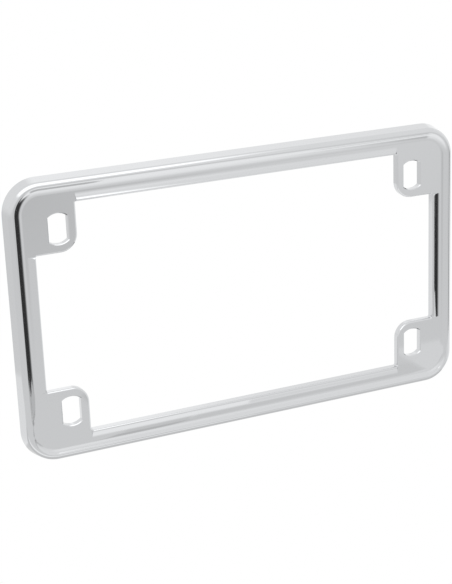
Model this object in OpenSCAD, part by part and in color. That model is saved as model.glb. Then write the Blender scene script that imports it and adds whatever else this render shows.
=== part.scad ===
// Number plate holder: a one-piece cast and chromed frame for a small motorcycle plate.
// The plate drops into the recess at the back, and four screws pass through the slots of the corner tabs.
// The model stands as it is fitted: +X to the right, +Z up, the front towards -Y.
// The origin is the centre of the slot pattern, in the plane of the plate's seat.

/* [Number plate] */
// Width of the plate that the frame holds
plate_w = 177.8; // [170:0.1:190]
// Height of the plate
plate_h = 101.6; // [95:0.1:120]
// Gap between the plate's edge and the rim
plate_gap = 0.5; // [0.2:0.1:1]
// Depth of the recess that takes the plate
seat_depth = 2.5; // [1.5:0.1:3.5]

/* [Border] */
// Thickness of the rim round the plate
rim_t = 2.6; // [2.2:0.1:3.4]
// Width of the border, from the outer edge to the window
border_w = 9.8; // [9.4:0.1:10.6]
// Radius of the outer corners
corner_r = 12.7; // [11:0.1:16]
// Height of the bead's crest over the seat
crest_h = 3.5; // [3.3:0.1:4.2]
// Distance of the bead's crest from the outer edge
crest_in = 2.6; // [2.3:0.1:2.8]
// Radius of the bead's rounding
bead_r = 1.7; // [1.4:0.05:1.7]
// Radius of the hollow inside the bead
hollow_r = 5; // [4:0.1:5.5]
// Bevel at the rim's back edge
rim_bevel = 0.3; // [0.1:0.1:0.6]

/* [Inner lip] */
// Distance from the outer edge at which the lip starts to rise
lip_start = 6.3; // [6.2:0.1:6.6]
// Radius of the lip's hollow slope
lip_hollow_r = 7; // [6:0.5:12]
// Radius of the lip's round edge
lip_edge_r = 0.6; // [0.4:0.1:0.8]
// Radius of the lip's ends, beside the tabs
lip_end_r = 0.8; // [0.6:0.1:1.2]

/* [Corner tabs] */
// Thickness of the tabs
tab_t = 2.6; // [2.2:0.1:2.8]
// Metal between a slot and the tab's free side
tab_side_w = 3.3; // [2.4:0.1:6]
// Metal between a slot's end and the tab's free end
tab_end_w = 3.2; // [2.4:0.1:6]
// Radius of a tab's free corner
tab_corner_r = 6.5; // [4:0.1:8]
// Rounding of a tab's front edge
tab_edge_r = 0.7; // [0.4:0.1:1]
// Fillet between a tab's side and the border
web_fillet_r = 0.6; // [0.4:0.1:1.6]

/* [Screw slots] */
// Distance of a screw from the plate's two nearest edges, 5/8 inch as on a standard plate
screw_inset = 15.875; // [15.5:0.125:17.5]
// Length of a slot, over its round ends
slot_len = 11.5; // [9:0.1:12]
// Width of a slot, across its flats
slot_w = 7.4; // [6.5:0.1:8]
// Bevel at a slot's front edge
slot_bevel = 0.3; // [0.1:0.1:0.5]

/* [Hidden] */
$fn = 96;
outer_w = plate_w + 2 * (plate_gap + rim_t);
outer_h = plate_h + 2 * (plate_gap + rim_t);
window_w = outer_w - 2 * border_w;
window_h = outer_h - 2 * border_w;
// Centre of the upper right slot, and the free side and foot of its tab
slot_x = plate_w / 2 - screw_inset;
slot_z = plate_h / 2 - screw_inset;
tab_x = slot_x - slot_w / 2 - tab_side_w;
tab_z = slot_z - slot_len / 2 - tab_end_w;
// How far one solid reaches into the next where they join
joint_overlap = 0.5;
cut_margin = 1;
// How far from the outer edge a tab's plate reaches under the border
tab_root = 8;

// Centres of the section's rounds, as distance in from the outer edge and height over the seat
bead_c = [crest_in, crest_h - bead_r];
hollow_rise = tab_t + hollow_r - bead_c.y;
hollow_c = [crest_in + sqrt(pow(bead_r + hollow_r, 2) - pow(hollow_rise, 2)), tab_t + hollow_r];
lip_run = border_w - lip_edge_r - lip_start;
lip_hollow_c = [lip_start, tab_t + lip_hollow_r];
lip_c = [border_w - lip_edge_r, lip_hollow_c.y - sqrt(pow(lip_hollow_r + lip_edge_r, 2) - pow(lip_run, 2))];
lip_crest = lip_c.y + lip_edge_r;

// Point at distance r from a, towards b
function towards(a, b, r) = a + r * (b - a) / norm(b - a);
// Direction square to the line from point a that touches the circle round b on its outer side
function wall_normal(a, b, r) =
    let (angle = atan2(b.y - a.y, b.x - a.x) + asin(r / norm(b - a)) + 90)
    [cos(angle), sin(angle)];

module disc(centre, r) {
    translate(centre) circle(r);
}

// Border without the lip: leaning outer wall, round bead, hollow and flat face
module border_section() {
    wall_foot = [0, rim_bevel - seat_depth];
    difference() {
        union() {
            polygon([
                wall_foot,
                [rim_bevel, -seat_depth],
                [rim_t, -seat_depth],
                [rim_t, 0],
                [border_w, 0],
                [border_w, tab_t],
                [hollow_c.x, tab_t],
                towards(bead_c, hollow_c, bead_r),
                bead_c,
                bead_c + bead_r * wall_normal(wall_foot, bead_c, bead_r)
            ]);
            disc(bead_c, bead_r);
        }
        disc(hollow_c, hollow_r);
    }
}

// Lip at the window's edge, which rises out of the flat face in a hollow curve
module lip_section() {
    foot = tab_t - joint_overlap;
    difference() {
        union() {
            polygon([
                [lip_start, foot],
                [border_w, foot],
                [border_w, lip_c.y],
                lip_c,
                towards(lip_hollow_c, lip_c, lip_hollow_r),
                [lip_start, tab_t]
            ]);
            disc(lip_c, lip_edge_r);
        }
        disc(lip_hollow_c, lip_hollow_r);
    }
}

// Side view of a lip, whose ends are rounded beside the tabs
module lip_run_outline(length) {
    foot = tab_t - joint_overlap;
    straight = length - 2 * lip_end_r;
    translate([-straight / 2, foot]) square([straight, lip_crest + cut_margin - foot]);
    for (side = [-1, 1])
        disc([side * straight / 2, lip_crest - lip_end_r], lip_end_r);
    translate([-length / 2, foot]) square([length, lip_crest - lip_end_r - foot]);
}

// Places children, drawn inwards along +X from an outer edge at x = 0, on all four sides
module on_sides() {
    for (side = [0:3]) {
        $upright = side % 2 == 0;
        rotate(side * 90) translate([($upright ? outer_w : outer_h) / 2, 0, 0])
            mirror([1, 0, 0]) children();
    }
}

// Places children, drawn in the upper right quarter, in all four
module in_quarters() {
    for (x = [0, 1], y = [0, 1])
        mirror([x, 0, 0]) mirror([0, y, 0]) children();
}

// Extrudes a section along +Y, with its height up Z
module along(length, center = false) {
    mirror([0, 1, 0]) rotate([90, 0, 0]) linear_extrude(length, center = center) children();
}

module border() {
    on_sides() along(2 * (($upright ? outer_h : outer_w) / 2 - corner_r), center = true)
        border_section();
    in_quarters()
        translate([outer_w / 2 - corner_r, outer_h / 2 - corner_r])
            rotate_extrude(angle = 90)
                translate([corner_r, 0]) mirror([1, 0]) border_section();
}

module lips() {
    on_sides() {
        length = 2 * ($upright ? tab_z : tab_x);
        intersection() {
            along(length, center = true) lip_section();
            rotate([90, 0, 90]) linear_extrude(border_w + cut_margin) lip_run_outline(length);
        }
    }
}

// Section of a tab: flat from x = 0 to a free edge whose front is rounded
module tab_section(depth) {
    square([depth - tab_edge_r, tab_t]);
    square([depth, tab_t - tab_edge_r]);
    disc([depth - tab_edge_r, tab_t - tab_edge_r], tab_edge_r);
}

// Web that rounds the inner corner between a tab's side and the border
module web_fillet() {
    depth = tab_edge_r + joint_overlap;
    translate([-web_fillet_r, -web_fillet_r])
        rotate_extrude(angle = 90)
            translate([web_fillet_r + depth, 0]) mirror([1, 0]) tab_section(depth);
}

// Tab of the upper right corner
module tab() {
    root_x = outer_w / 2 - tab_root;
    root_z = outer_h / 2 - tab_root;
    round_x = tab_x + tab_corner_r;
    round_z = tab_z + tab_corner_r;
    translate([round_x - joint_overlap, round_z - joint_overlap, 0])
        cube([root_x - round_x + joint_overlap, root_z - round_z + joint_overlap, tab_t]);
    translate([root_x, round_z, 0])
        mirror([1, 0, 0]) along(root_z - round_z) tab_section(root_x - tab_x);
    translate([round_x, root_z, 0])
        rotate(-90) along(root_x - round_x) tab_section(root_z - tab_z);
    translate([round_x, round_z, 0])
        rotate(180) rotate_extrude(angle = 90) tab_section(tab_corner_r);
    translate([tab_x, window_h / 2, 0]) web_fillet();
    translate([window_w / 2, tab_z, 0]) web_fillet();
}

// Upright slot with flat sides and round ends, bevelled at the front
module slot_cut() {
    half_w = slot_w / 2;
    end_r = slot_len / 2;
    flare = slot_bevel + cut_margin;
    intersection() {
        translate([0, 0, -cut_margin]) cylinder(h = tab_t + 2 * cut_margin, r = end_r);
        translate([-half_w, -end_r, -cut_margin]) cube([slot_w, slot_len, tab_t + 2 * cut_margin]);
    }
    translate([0, 0, tab_t - slot_bevel]) intersection() {
        cylinder(h = flare, r1 = end_r, r2 = end_r + flare);
        rotate([90, 0, 0]) linear_extrude(slot_len + 2 * flare, center = true)
            polygon([[-half_w, 0], [half_w, 0], [half_w + flare, flare], [-half_w - flare, flare]]);
    }
}

module plate_frame() {
    color("silver") rotate([90, 0, 0]) difference() {
        union() {
            border();
            lips();
            in_quarters() tab();
        }
        in_quarters() translate([slot_x, slot_z, 0]) slot_cut();
    }
}

plate_frame();
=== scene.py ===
import math

import bpy
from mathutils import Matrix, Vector


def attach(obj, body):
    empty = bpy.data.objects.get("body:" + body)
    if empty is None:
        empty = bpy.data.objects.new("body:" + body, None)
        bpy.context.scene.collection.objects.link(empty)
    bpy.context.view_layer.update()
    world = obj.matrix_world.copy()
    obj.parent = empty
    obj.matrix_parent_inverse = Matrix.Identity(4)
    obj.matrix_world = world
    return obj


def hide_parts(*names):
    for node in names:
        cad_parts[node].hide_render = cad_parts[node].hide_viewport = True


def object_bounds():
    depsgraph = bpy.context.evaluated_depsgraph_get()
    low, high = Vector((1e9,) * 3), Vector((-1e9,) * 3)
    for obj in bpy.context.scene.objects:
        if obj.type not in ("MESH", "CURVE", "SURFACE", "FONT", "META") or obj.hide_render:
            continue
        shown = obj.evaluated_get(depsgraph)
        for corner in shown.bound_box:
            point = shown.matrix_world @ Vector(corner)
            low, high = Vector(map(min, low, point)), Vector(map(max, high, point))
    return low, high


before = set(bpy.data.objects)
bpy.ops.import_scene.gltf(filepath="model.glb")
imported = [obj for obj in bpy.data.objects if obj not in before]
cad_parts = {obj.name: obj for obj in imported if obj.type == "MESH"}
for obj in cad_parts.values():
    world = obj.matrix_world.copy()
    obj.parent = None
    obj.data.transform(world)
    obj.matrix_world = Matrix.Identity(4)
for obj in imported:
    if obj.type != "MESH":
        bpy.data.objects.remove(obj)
cad_box = [list(corner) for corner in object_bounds()]

# Camera, solved from the outline, the window and the slots in the photograph:
# place in metres, turn in degrees, focal length in picture heights, nearest and farthest distance seen
CAMERA_PLACE = (-0.226818, -0.497529, 0.175458)
CAMERA_TURN = (72.0555, 2.2398, -24.4845)
FOCAL_LENGTH = 2.5663
CLIP_NEAR, CLIP_FAR = 0.01, 10

# Sizes of the part's source, in millimetres
OUTER_W, OUTER_H = 184.0, 107.8
CORNER_R = 12.7
SEAT_DEPTH, TAB_T, RIM_T, BORDER_W = 2.5, 2.6, 2.6, 9.8
RIM_BEVEL, BEAD_R, HOLLOW_R = 0.3, 1.7, 5.0
CREST_IN, CREST_H = 2.6, 3.5
LIP_START, LIP_HOLLOW_R, LIP_EDGE_R, LIP_END_R = 6.3, 7.0, 0.6, 0.8
SLOT_X, SLOT_Z = 73.025, 34.925
SLOT_W, SLOT_LEN, SLOT_BEVEL = 7.4, 11.5, 0.3
TAB_X, TAB_Z = 66.025, 25.975
TAB_CORNER_R, TAB_EDGE_R, WEB_FILLET_R = 6.5, 0.7, 0.6
# How near a point lies to a surface that passes through it, and the slack of the tests beside it
TOUCHING, SLACK = 0.01, 1e-3
MM_PER_METRE = 1000

FLOOR_Z = cad_box[0][2]
FLOOR_REACH = 3
WHITE = (1, 1, 1, 1)

# Chrome: its colour and the range of its roughness
CHROME_COLOUR = (0.612, 0.62, 0.631, 1)
ROUGHNESS = (0.07, 0.1)
# Faint waves of its polish, in waves per metre and metres, and the noise that spreads the roughness
WAVE_SCALE, WAVE_DETAIL, WAVE_HEIGHT = 70, 2, 0.00003
HAZE_SCALE, HAZE_RANGE = 25, (0.3, 0.7)

# Half the brightness of the surroundings, over height: 0 is straight down, 1 straight up
HEIGHT_RAMP = (
    (0, 0.63),
    (0.1, 0.635),
    (0.2, 0.575),
    (0.28, 0.49),
    (0.36, 0.452),
    (0.43, 0.47),
    (0.5, 0.52),
    (0.6, 0.54),
    (1, 0.54),
)
# Dark gap at the front right. Bearings are in degrees to the right of the front. Heights are those of
# a direction one metre long. Each pair says where the gap sets in and where it is full.
GAP_LEFT, GAP_RIGHT = (32.5, 49.5), (92, 78)
GAP_TOP, GAP_FOOT = (-0.14, -0.205), (-0.74, -0.58)
# Share of the light that the gap takes
GAP_DEPTH = 0.95
# Soft changes of the light about one direction: bearing and its reach, height and its reach, change
LIGHT_CHANGES = {
    "darker ahead of the upper left corner": (14, 15, -0.23, 0.13, -0.15),
    "lighter wall ahead": (14, 18, 0.08, 0.2, 0.12),
    "lighter ahead of the right side": (29, 11, -0.21, 0.12, 0.07),
    "lighter high up behind": (160, 28, 0.66, 0.3, 0.2),
    "lighter lower down behind": (164, 11, 0.38, 0.14, 0.24),
}

# Level boards and lights that the camera doesn't see:
# left, right, front, back and height in metres, brightness, width of the soft edge in metres
BOARDS = {
    "left_board": (-0.15, -0.048, -0.064, -0.0105, FLOOR_Z, 0.93, 0.004),
    "dim_board": (-0.052, -0.018, -0.064, -0.019, FLOOR_Z, 0.72, 0.004),
    "inner_board": (-0.052, -0.018, -0.023, -0.0105, FLOOR_Z, 0.86, 0.004),
    "middle_board": (-0.021, 0.088, -0.028, -0.0105, FLOOR_Z, 0.88, 0.004),
    "right_board": (0.085, 0.2, -0.046, -0.0105, FLOOR_Z, 1.02, 0.004),
    "left_streak": (-0.12, 0.005, -0.012, -0.006, FLOOR_Z, 1.25, 0.002),
    "right_streak": (0.002, 0.12, -0.012, -0.006, FLOOR_Z, 1.04, 0.002),
    "shade_under": (-0.13, 0.13, -0.0075, 0.012, FLOOR_Z, 0.82, 0.002),
    "back_board": (-0.155, 0.2, 0.01, 0.25, FLOOR_Z, 1.08, 0.004),
    "soft_box": (-0.225, 0.09, -0.34, 0.01, 0.16, 1.8, 0.07),
    "front_light": (-0.2, 0.045, -0.62, -0.29, 0.16, 1.7, 0.03),
}
# Upright cards beside the right rail, the left rail's lip and the left tabs, not seen by the camera:
# place to the right, front, back, bottom and top in metres, brightness
SIDE_CARDS = {
    "side_card": (0.0925, -0.0057, 0.03, -0.06, 0.06, 1.15),
    "lip_card": (-0.0815, -0.0048, 0, -0.0255, 0.0255, 1.1),
    "upper_tab_card": (-0.0653, -0.0052, 0, 0.0275, 0.0445, 1.1),
    "lower_tab_card": (-0.0653, -0.0052, 0, -0.0445, -0.0275, 1.1),
}
CARD_EDGE = 0.0005


def section_surfaces():
    """Tests for the rounds and walls of the border's section, and the height of the lip's crest.

    Each test takes a point of the section, as distance in from the edge and height over the seat.
    It gives the point's distance from the surface and the surface's normal there.
    """
    wall_foot = Vector((0, RIM_BEVEL - SEAT_DEPTH))
    bead = Vector((CREST_IN, CREST_H - BEAD_R))
    rise = TAB_T + HOLLOW_R - bead.y
    hollow = Vector((CREST_IN + math.sqrt((BEAD_R + HOLLOW_R) ** 2 - rise**2), TAB_T + HOLLOW_R))
    lip_hollow = Vector((LIP_START, TAB_T + LIP_HOLLOW_R))
    run = BORDER_W - LIP_EDGE_R - LIP_START
    drop = math.sqrt((LIP_HOLLOW_R + LIP_EDGE_R) ** 2 - run**2)
    lip = Vector((BORDER_W - LIP_EDGE_R, lip_hollow.y - drop))
    across = bead - wall_foot
    angle = math.atan2(across.y, across.x) + math.asin(BEAD_R / across.length) + math.pi / 2
    wall = Vector((math.cos(angle), math.sin(angle)))

    def round_about(centre, radius, outward):
        def test(p):
            away = p - centre
            return abs(away.length - radius), away.normalized() * outward

        return test

    def straight(point, normal):
        return lambda p: (abs((p - point).dot(normal)), normal)

    surfaces = [
        straight(wall_foot, Vector((-1, -1)).normalized()),
        straight(wall_foot, wall),
        round_about(bead, BEAD_R, 1),
        round_about(hollow, HOLLOW_R, -1),
        round_about(lip_hollow, LIP_HOLLOW_R, -1),
        round_about(lip, LIP_EDGE_R, 1),
        straight(Vector((RIM_T, 0)), Vector((1, 0))),
        straight(Vector((BORDER_W, 0)), Vector((1, 0))),
    ]
    return surfaces, lip.y + LIP_EDGE_R


SECTION, LIP_CREST = section_surfaces()


def from_edge(x, z):
    """How far a point of the first quarter lies in from the outer edge, and the way out."""
    middle = Vector((OUTER_W / 2 - CORNER_R, OUTER_H / 2 - CORNER_R))
    away = Vector((x, z)) - middle
    if away.x > 0 and away.y > 0:
        return CORNER_R - away.length, away.normalized()
    if OUTER_W / 2 - x < OUTER_H / 2 - z:
        return OUTER_W / 2 - x, Vector((1, 0))
    return OUTER_H / 2 - z, Vector((0, 1))


def tab_outlines(x, z):
    """How far a point of the first quarter lies in from each stretch of its tab's free edge, and the
    way out."""
    window_x, window_z = OUTER_W / 2 - BORDER_W, OUTER_H / 2 - BORDER_W
    p = Vector((x, z))
    corner = Vector((TAB_X + TAB_CORNER_R, TAB_Z + TAB_CORNER_R)) - p
    webs = [
        p - Vector((TAB_X - WEB_FILLET_R, window_z - WEB_FILLET_R)),
        p - Vector((window_x - WEB_FILLET_R, TAB_Z - WEB_FILLET_R)),
    ]
    if z > TAB_Z + TAB_CORNER_R:
        yield x - TAB_X, Vector((-1, 0))
    if x > TAB_X + TAB_CORNER_R:
        yield z - TAB_Z, Vector((0, -1))
    if corner.x > -SLACK and corner.y > -SLACK:
        yield TAB_CORNER_R - corner.length, -corner.normalized()
    for web in webs:
        if web.x > -SLACK and web.y > -SLACK:
            yield web.length - WEB_FILLET_R, -web.normalized()


def surfaces_at(x, z, height):
    """Every surface of the part near a point of the first quarter: distance, the normal's share
    across in X and Z, and its share in height."""
    for level, side in ((0, -1), (TAB_T, 1), (-SEAT_DEPTH, -1)):
        yield abs(height - level), Vector((0, 0)), side
    inset, out = from_edge(x, z)
    for test in SECTION:
        distance, normal = test(Vector((inset, height)))
        yield distance, -out * normal.x, normal.y
    for inset, out in tab_outlines(x, z):
        yield abs(inset), out, 0
        away = Vector((inset - TAB_EDGE_R, height - TAB_T + TAB_EDGE_R))
        if away.x < SLACK and away.y > -SLACK and away.length > 0:
            yield abs(away.length - TAB_EDGE_R), -out * away.x / away.length, away.y / away.length
    for along, end, out in ((x, TAB_X, Vector((1, 0))), (z, TAB_Z, Vector((0, 1)))):
        away = Vector((along - end + LIP_END_R, height - LIP_CREST + LIP_END_R))
        if away.length > 0:
            yield abs(away.length - LIP_END_R), out * away.x / away.length, away.y / away.length
    from_slot = Vector((x - SLOT_X, z - SLOT_Z))
    if from_slot.length < SLOT_LEN:
        slope = math.sqrt(0.5)
        rise = max(height - TAB_T + SLOT_BEVEL, 0)
        side = Vector((-math.copysign(1, from_slot.x), 0))
        inward = -from_slot.normalized()
        flat, rounded = abs(from_slot.x) - SLOT_W / 2, from_slot.length - SLOT_LEN / 2
        yield abs(flat), side, 0
        yield abs(rounded), inward, 0
        yield abs(flat - rise), side * slope, slope
        yield abs(rounded - rise), inward * slope, slope


def true_normal(point, facet_normal):
    """The exact surface's normal at a corner of a facet: of the surfaces that pass through the point,
    it is that of the one on which the facet lies."""
    x, height, z = point.x * MM_PER_METRE, -point.y * MM_PER_METRE, point.z * MM_PER_METRE
    mirror_x, mirror_z = math.copysign(1, x), math.copysign(1, z)
    best, found = -1, facet_normal
    for distance, across, up in surfaces_at(abs(x), abs(z), height):
        if distance < TOUCHING:
            normal = Vector((across.x * mirror_x, -up, across.y * mirror_z))
            match = normal.dot(facet_normal)
            if match > best:
                best, found = match, normal
    return found


def true_frame(node, material):
    """The frame's mesh with the normals of its exact surfaces, so that the chrome mirrors without facets."""
    mesh = node.data.copy()
    mesh.name = "chromed_frame"
    mesh.materials.clear()
    mesh.materials.append(material)
    normals = [None] * len(mesh.loops)
    for polygon in mesh.polygons:
        polygon.use_smooth = True
        for loop in polygon.loop_indices:
            vertex = mesh.vertices[mesh.loops[loop].vertex_index].co
            normals[loop] = true_normal(vertex, polygon.normal)
    mesh.normals_split_custom_set(normals)
    piece = bpy.data.objects.new("chromed_frame", mesh)
    bpy.context.scene.collection.objects.link(piece)
    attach(piece, "root")
    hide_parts("plate_frame")


def new_material(name):
    """An empty material, its nodes and its links."""
    material = bpy.data.materials.new(name)
    material.use_nodes = True
    material.node_tree.nodes.clear()
    return material, material.node_tree.nodes, material.node_tree.links


def to_surface(nodes, links, shader):
    out = nodes.new("ShaderNodeOutputMaterial")
    links.new(shader, out.inputs["Surface"])


def white_light(nodes, strength):
    """An emission of white light."""
    node = nodes.new("ShaderNodeEmission")
    node.inputs["Color"].default_value = WHITE
    node.inputs["Strength"].default_value = strength
    return node.outputs["Emission"]


def set_range(node, start, end, low=0, high=1):
    """Ranges of a Map Range node: it turns start into low and end into high."""
    for name, value in (("From Min", start), ("From Max", end), ("To Min", low), ("To Max", high)):
        node.inputs[name].default_value = value


def axes(nodes, links, kind):
    """X, Y and Z of a texture coordinate of this kind."""
    coordinate = nodes.new("ShaderNodeTexCoord")
    split = nodes.new("ShaderNodeSeparateXYZ")
    links.new(coordinate.outputs[kind], split.inputs["Vector"])
    return [split.outputs[axis] for axis in "XYZ"]


def chrome():
    """Polished chrome with a faint waviness, so that its reflections aren't drawn with a ruler."""
    material, nodes, links = new_material("chrome")
    shader = nodes.new("ShaderNodeBsdfPrincipled")
    shader.inputs["Base Color"].default_value = CHROME_COLOUR
    shader.inputs["Metallic"].default_value = 1
    coordinate = nodes.new("ShaderNodeTexCoord")
    waves = nodes.new("ShaderNodeTexNoise")
    links.new(coordinate.outputs["Object"], waves.inputs["Vector"])
    waves.inputs["Scale"].default_value = WAVE_SCALE
    waves.inputs["Detail"].default_value = WAVE_DETAIL
    bump = nodes.new("ShaderNodeBump")
    links.new(waves.outputs["Fac"], bump.inputs["Height"])
    bump.inputs["Distance"].default_value = WAVE_HEIGHT
    links.new(bump.outputs["Normal"], shader.inputs["Normal"])
    haze = nodes.new("ShaderNodeTexNoise")
    links.new(coordinate.outputs["Object"], haze.inputs["Vector"])
    haze.inputs["Scale"].default_value = HAZE_SCALE
    roughness = nodes.new("ShaderNodeMapRange")
    links.new(haze.outputs["Fac"], roughness.inputs["Value"])
    set_range(roughness, *HAZE_RANGE, *ROUGHNESS)
    links.new(roughness.outputs["Result"], shader.inputs["Roughness"])
    to_surface(nodes, links, shader.outputs["BSDF"])
    return material


def math_node(nodes, links, operation, first, second=None):
    """Result of an operation on numbers or sockets."""
    node = nodes.new("ShaderNodeMath")
    node.operation = operation
    for socket, value in zip(node.inputs, (first, second)):
        if isinstance(value, (int, float)):
            socket.default_value = value
        elif value is not None:
            links.new(value, socket)
    return node.outputs["Value"]


def step(nodes, links, value, start, end):
    """Soft step of a value: 0 at start, 1 at end."""
    node = nodes.new("ShaderNodeMapRange")
    node.interpolation_type = "SMOOTHSTEP"
    links.new(value, node.inputs["Value"])
    set_range(node, start, end)
    return node.outputs["Result"]


def ramp(nodes, links, value, stops):
    """Smooth curve of a value through the given stops."""
    node = nodes.new("ShaderNodeFloatCurve")
    links.new(value, node.inputs["Value"])
    curve = node.mapping.curves[0]
    while len(curve.points) < len(stops):
        curve.points.new(0.5, 0.5)
    for point, (at, height) in zip(curve.points, stops):
        point.location = (at, height)
        point.handle_type = "AUTO_CLAMPED"
    node.mapping.update()
    return node.outputs["Value"]


def spot(nodes, links, bearing, height, place):
    """Soft round change of the light about one direction."""
    turn, turn_reach, level, level_reach, change = place
    squares = []
    for value, middle, reach in ((bearing, turn, turn_reach), (height, level, level_reach)):
        offset = math_node(nodes, links, "SUBTRACT", value, middle)
        share = math_node(nodes, links, "DIVIDE", offset, reach)
        squares.append(math_node(nodes, links, "POWER", share, 2))
    away = math_node(nodes, links, "SQRT", math_node(nodes, links, "ADD", *squares))
    return math_node(nodes, links, "MULTIPLY", step(nodes, links, away, 1, 0), change)


def studio_world():
    """Surroundings of the studio by direction: light grey all round, lighter near the floor and
    behind, with a dark gap at the front right."""
    world = bpy.data.worlds.new("studio")
    bpy.context.scene.world = world
    world.use_nodes = True
    nodes, links = world.node_tree.nodes, world.node_tree.links
    nodes.clear()
    x, y, z = axes(nodes, links, "Generated")
    height = math_node(nodes, links, "ADD", math_node(nodes, links, "MULTIPLY", z, 0.5), 0.5)
    shade = math_node(nodes, links, "MULTIPLY", ramp(nodes, links, height, HEIGHT_RAMP), 2)
    # Bearing to the right of the front, in degrees
    ahead = math_node(nodes, links, "MULTIPLY", y, -1)
    bearing = math_node(nodes, links, "DEGREES", math_node(nodes, links, "ARCTAN2", x, ahead))
    for place in LIGHT_CHANGES.values():
        shade = math_node(nodes, links, "ADD", shade, spot(nodes, links, bearing, z, place))
    gap = step(nodes, links, bearing, *GAP_LEFT)
    for value, limits in ((bearing, GAP_RIGHT), (z, GAP_TOP), (z, GAP_FOOT)):
        gap = math_node(nodes, links, "MULTIPLY", gap, step(nodes, links, value, *limits))
    dimmed = math_node(nodes, links, "SUBTRACT", 1, math_node(nodes, links, "MULTIPLY", gap, GAP_DEPTH))
    background = nodes.new("ShaderNodeBackground")
    background.inputs["Color"].default_value = WHITE
    links.new(math_node(nodes, links, "MULTIPLY", shade, dimmed), background.inputs["Strength"])
    out = nodes.new("ShaderNodeOutputWorld")
    links.new(background.outputs["Background"], out.inputs["Surface"])


def glow(name, width, depth, strength, edge):
    """Light of a level sheet, fading out over the given distance at its borders."""
    material, nodes, links = new_material(name)
    x, y, _ = axes(nodes, links, "Object")
    fade = 1
    for place, length in ((x, width), (y, depth)):
        from_middle = math_node(nodes, links, "ABSOLUTE", place)
        side = step(nodes, links, from_middle, length / 2, length / 2 - edge)
        fade = math_node(nodes, links, "MULTIPLY", fade, side)
    clear = nodes.new("ShaderNodeBsdfTransparent")
    mix = nodes.new("ShaderNodeMixShader")
    links.new(fade, mix.inputs["Fac"])
    links.new(clear.outputs["BSDF"], mix.inputs[1])
    links.new(white_light(nodes, strength), mix.inputs[2])
    to_surface(nodes, links, mix.outputs["Shader"])
    return material


def sheet(name, left, right, front, back, height, material):
    """Level sheet of the stage."""
    x, y = (right - left) / 2, (back - front) / 2
    mesh = bpy.data.meshes.new(name)
    mesh.from_pydata([(-x, -y, 0), (x, -y, 0), (x, y, 0), (-x, y, 0)], [], [(0, 1, 2, 3)])
    mesh.materials.append(material)
    obj = bpy.data.objects.new(name, mesh)
    obj.location = ((left + right) / 2, (front + back) / 2, height)
    bpy.context.scene.collection.objects.link(obj)
    return obj


def reflected_sheet(name, left, right, front, back, height, strength, edge):
    """Light or board round the frame, which the frame mirrors but the camera doesn't see."""
    material = glow(name, right - left, back - front, strength, edge)
    obj = sheet(name, left, right, front, back, height, material)
    obj.visible_camera = False
    return obj


def side_card(name, right, front, back, bottom, top, strength):
    """Upright card beside an edge, which keeps the dark gap off the edge's round."""
    half = (top - bottom) / 2
    card = reflected_sheet(name, -half, half, front, back, 0, strength, CARD_EDGE)
    card.rotation_euler = (0, math.pi / 2, 0)
    card.location = (right, (front + back) / 2, (bottom + top) / 2)


def white_floor():
    """Plain white without shadows, as in the photograph."""
    material, nodes, links = new_material("white_floor")
    to_surface(nodes, links, white_light(nodes, 1))
    return material


def camera():
    data = bpy.data.cameras.new("camera")
    data.lens = data.sensor_width * FOCAL_LENGTH
    data.clip_start = CLIP_NEAR
    data.clip_end = CLIP_FAR
    obj = bpy.data.objects.new("camera", data)
    bpy.context.scene.collection.objects.link(obj)
    obj.location = CAMERA_PLACE
    obj.rotation_euler = [math.radians(turn) for turn in CAMERA_TURN]
    bpy.context.scene.camera = obj


true_frame(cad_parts["plate_frame"], chrome())

bpy.context.scene.view_settings.view_transform = "Standard"
studio_world()
camera()

floor_edges = (-FLOOR_REACH, FLOOR_REACH, -FLOOR_REACH, FLOOR_REACH)
floor = sheet("floor", *floor_edges, FLOOR_Z, white_floor())
floor.visible_glossy = False
for name, place in BOARDS.items():
    reflected_sheet(name, *place)
for name, place in SIDE_CARDS.items():
    side_card(name, *place)
